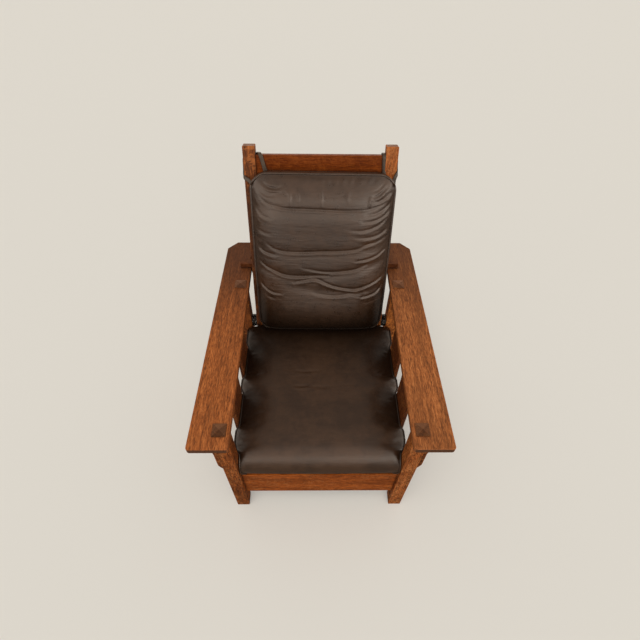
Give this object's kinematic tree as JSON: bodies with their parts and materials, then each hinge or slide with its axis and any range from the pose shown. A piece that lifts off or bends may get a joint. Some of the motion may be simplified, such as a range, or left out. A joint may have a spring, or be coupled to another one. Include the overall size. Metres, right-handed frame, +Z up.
{
  "type": "reclining armchair",
  "caption": "Slatted oak armchair with flat wide arms, corbels, loose leather seat and back cushions, and a pivoting back held by a movable stop bar.",
  "frame": {"origin": "on the floor, under the middle of the chair's outline", "axes": "+Z up, -Y towards the front of the chair, +X towards the viewer's right as seen from the front; the chair is the same on both sides of X = 0"},
  "size_m": [0.7336, 0.845, 1.0161],
  "materials": {
    "fumed_oak": "quarter-sawn oak, fumed and waxed, satin",
    "plain_wood": "plain sawn hardwood, thin stain, matt",
    "cushion_leather": "dark brown upholstery leather, semi-gloss, fine grain",
    "strap_leather": "dark brown leather thong, two-ply, stitched",
    "black_iron": "blackened iron, worn bright at the edges",
    "steel_screw": "plain steel",
    "jute_webbing": "woven jute webbing"
  },
  "bodies": {
    "frame": {"arm_left": "fumed_oak", "arm_right": "fumed_oak", "cleat_screws": "steel_screw", "corbel_left": "fumed_oak", "corbel_right": "fumed_oak", "front_leg_left": "fumed_oak", "front_leg_right": "fumed_oak", "front_seat_rail": "fumed_oak", "pivot_bolt_left": "black_iron", "pivot_bolt_right": "black_iron", "pivot_nuts": "black_iron", "pivot_sleeve_left": "black_iron", "pivot_sleeve_right": "black_iron", "pivot_washers": "black_iron", "rear_leg_left": "fumed_oak", "rear_leg_right": "fumed_oak", "rear_seat_rail": "fumed_oak", "seat_cleat_front": "plain_wood", "seat_cleat_left": "plain_wood", "seat_cleat_rear": "plain_wood", "seat_cleat_right": "plain_wood", "seat_cushion": "cushion_leather", "seat_frame_front": "plain_wood", "seat_frame_left": "plain_wood", "seat_frame_rear": "plain_wood", "seat_frame_right": "plain_wood", "seat_webbing_crosswise": "jute_webbing", "seat_webbing_lengthwise": "jute_webbing", "side_rail_left": "fumed_oak", "side_rail_right": "fumed_oak", "side_slat_left_front": "fumed_oak", "side_slat_left_rear": "fumed_oak", "side_slat_right_front": "fumed_oak", "side_slat_right_rear": "fumed_oak"},
    "back": {"back_bottom_rail": "fumed_oak", "back_cushion": "cushion_leather", "back_post_left": "fumed_oak", "back_post_right": "fumed_oak", "back_slat_1": "fumed_oak", "back_slat_2": "fumed_oak", "back_slat_3": "fumed_oak", "back_top_rail": "fumed_oak", "strap_left": "strap_leather", "strap_right": "strap_leather"},
    "stop_bar": {"stop_bar": "fumed_oak"}
  },
  "joints": [
    {"name": "back_recline", "type": "hinge", "parent": "frame", "child": "back", "pos_m": [0, 0.1945, 0.386], "axis": [-1, 0, 0], "range_deg": [0, 19.6]},
    {"name": "stop_bar_slide", "type": "slide", "parent": "frame", "child": "stop_bar", "axis": [0, 1, 0], "range_m": [0, 0.1005]}
  ],
  "couplings": [
    {"joint": "stop_bar_slide", "follows": "back_recline", "m_per_rad": 0.29046}
  ]
}
